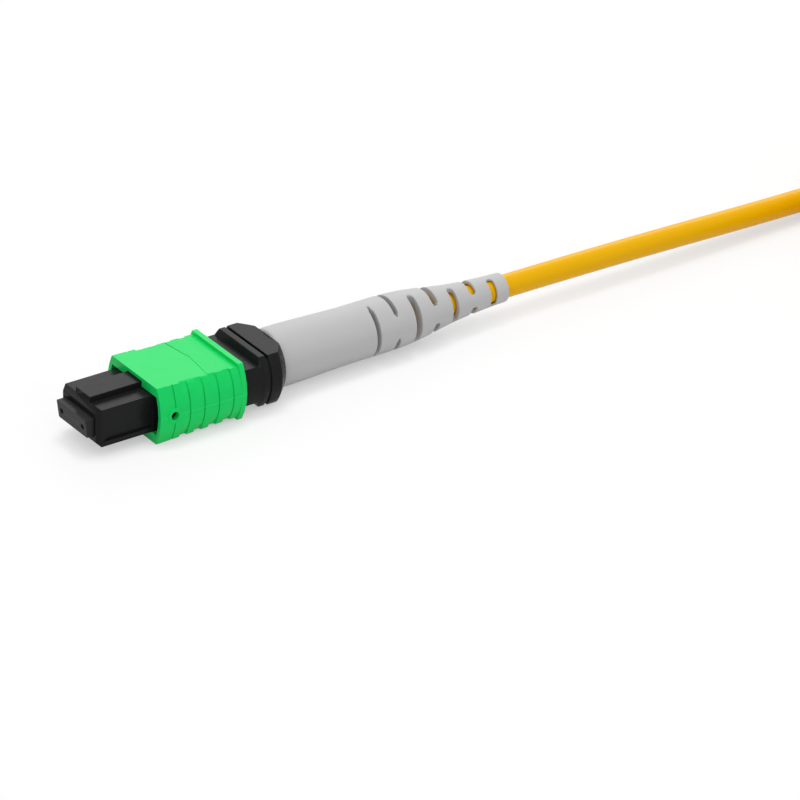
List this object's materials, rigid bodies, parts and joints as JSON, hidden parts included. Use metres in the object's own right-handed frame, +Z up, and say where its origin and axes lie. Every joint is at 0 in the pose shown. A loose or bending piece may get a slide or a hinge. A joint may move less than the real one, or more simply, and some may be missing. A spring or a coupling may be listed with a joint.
{
  "type": "mpo fibre connector",
  "caption": "Push-pull multi-fibre connector: rectangular ferrule in a keyed plug, ribbed sliding sleeve, slotted strain-relief boot and a round cable lead.",
  "frame": {"origin": "on the surface the connector lies on, under the middle of the connector's own length, ferrule tip to boot end; the lead isn't counted", "axes": "+Z up through the key rail; the connector's axis runs along Y with the ferrule towards -Y and the cable leaving towards +Y; +X is the side seen first from the front right"},
  "size_m": [0.0425, 0.2079, 0.0128],
  "materials": {
    "ferrule": "matt moulded",
    "soft_rubber": "matt",
    "stamped_steel": "satin",
    "spring_steel": "drawn wire",
    "fibre": "coated",
    "black_plastic": "moulded, half matt",
    "green_plastic": "moulded, half gloss",
    "yarn": "matt fibres",
    "crimp_metal": "plated",
    "boot_rubber": "matt, soft",
    "jacket": "smooth jacket",
    "tie": "hook and loop"
  },
  "bodies": {
    "lead": {"inner_housing": "black_plastic", "spring_push": "black_plastic", "aramid_yarn": "yarn", "crimp_ring": "crimp_metal", "boot": "boot_rubber", "cable_end": "jacket", "ferrule_spring": "spring_steel", "side_spring_left": "spring_steel", "side_spring_right": "spring_steel", "cable_run": "jacket", "cable_coil": "jacket", "coil_tie": "tie", "cable_run_far": "jacket", "inner_housing_far": "black_plastic", "spring_push_far": "black_plastic", "aramid_yarn_far": "yarn", "crimp_ring_far": "crimp_metal", "boot_far": "boot_rubber", "cable_end_far": "jacket", "ferrule_spring_far": "spring_steel", "side_spring_left_far": "spring_steel", "side_spring_right_far": "spring_steel"},
    "sleeve": {"outer_housing": "green_plastic"},
    "ferrule_group": {"ferrule": "ferrule", "ferrule_boot": "soft_rubber", "pin_clamp": "stamped_steel", "fibre_ribbon": "fibre"},
    "sleeve_far": {"outer_housing_far": "green_plastic"},
    "ferrule_group_far": {"ferrule_far": "ferrule", "ferrule_boot_far": "soft_rubber", "pin_clamp_far": "stamped_steel", "fibre_ribbon_far": "fibre"}
  },
  "joints": [
    {"name": "sleeve_pull", "type": "slide", "parent": "lead", "child": "sleeve", "axis": [0, 1, 0], "range_m": [0, 0.002], "stiffness_N_per_m": 120, "springref_m": -0.002, "deforming": ["side_spring_left", "side_spring_right"]},
    {"name": "ferrule_push", "type": "slide", "parent": "lead", "child": "ferrule_group", "axis": [0, 1, 0], "range_m": [0, 0.0008], "stiffness_N_per_m": 100, "springref_m": -0.002, "deforming": ["ferrule_spring"]},
    {"name": "sleeve_pull_far", "type": "slide", "parent": "lead", "child": "sleeve_far", "axis": [0, -1, 0], "range_m": [0, 0.002], "stiffness_N_per_m": 120, "springref_m": -0.002, "deforming": ["side_spring_left_far", "side_spring_right_far"]},
    {"name": "ferrule_push_far", "type": "slide", "parent": "lead", "child": "ferrule_group_far", "axis": [0, -1, 0], "range_m": [0, 0.0008], "stiffness_N_per_m": 100, "springref_m": -0.002, "deforming": ["ferrule_spring_far"]}
  ]
}
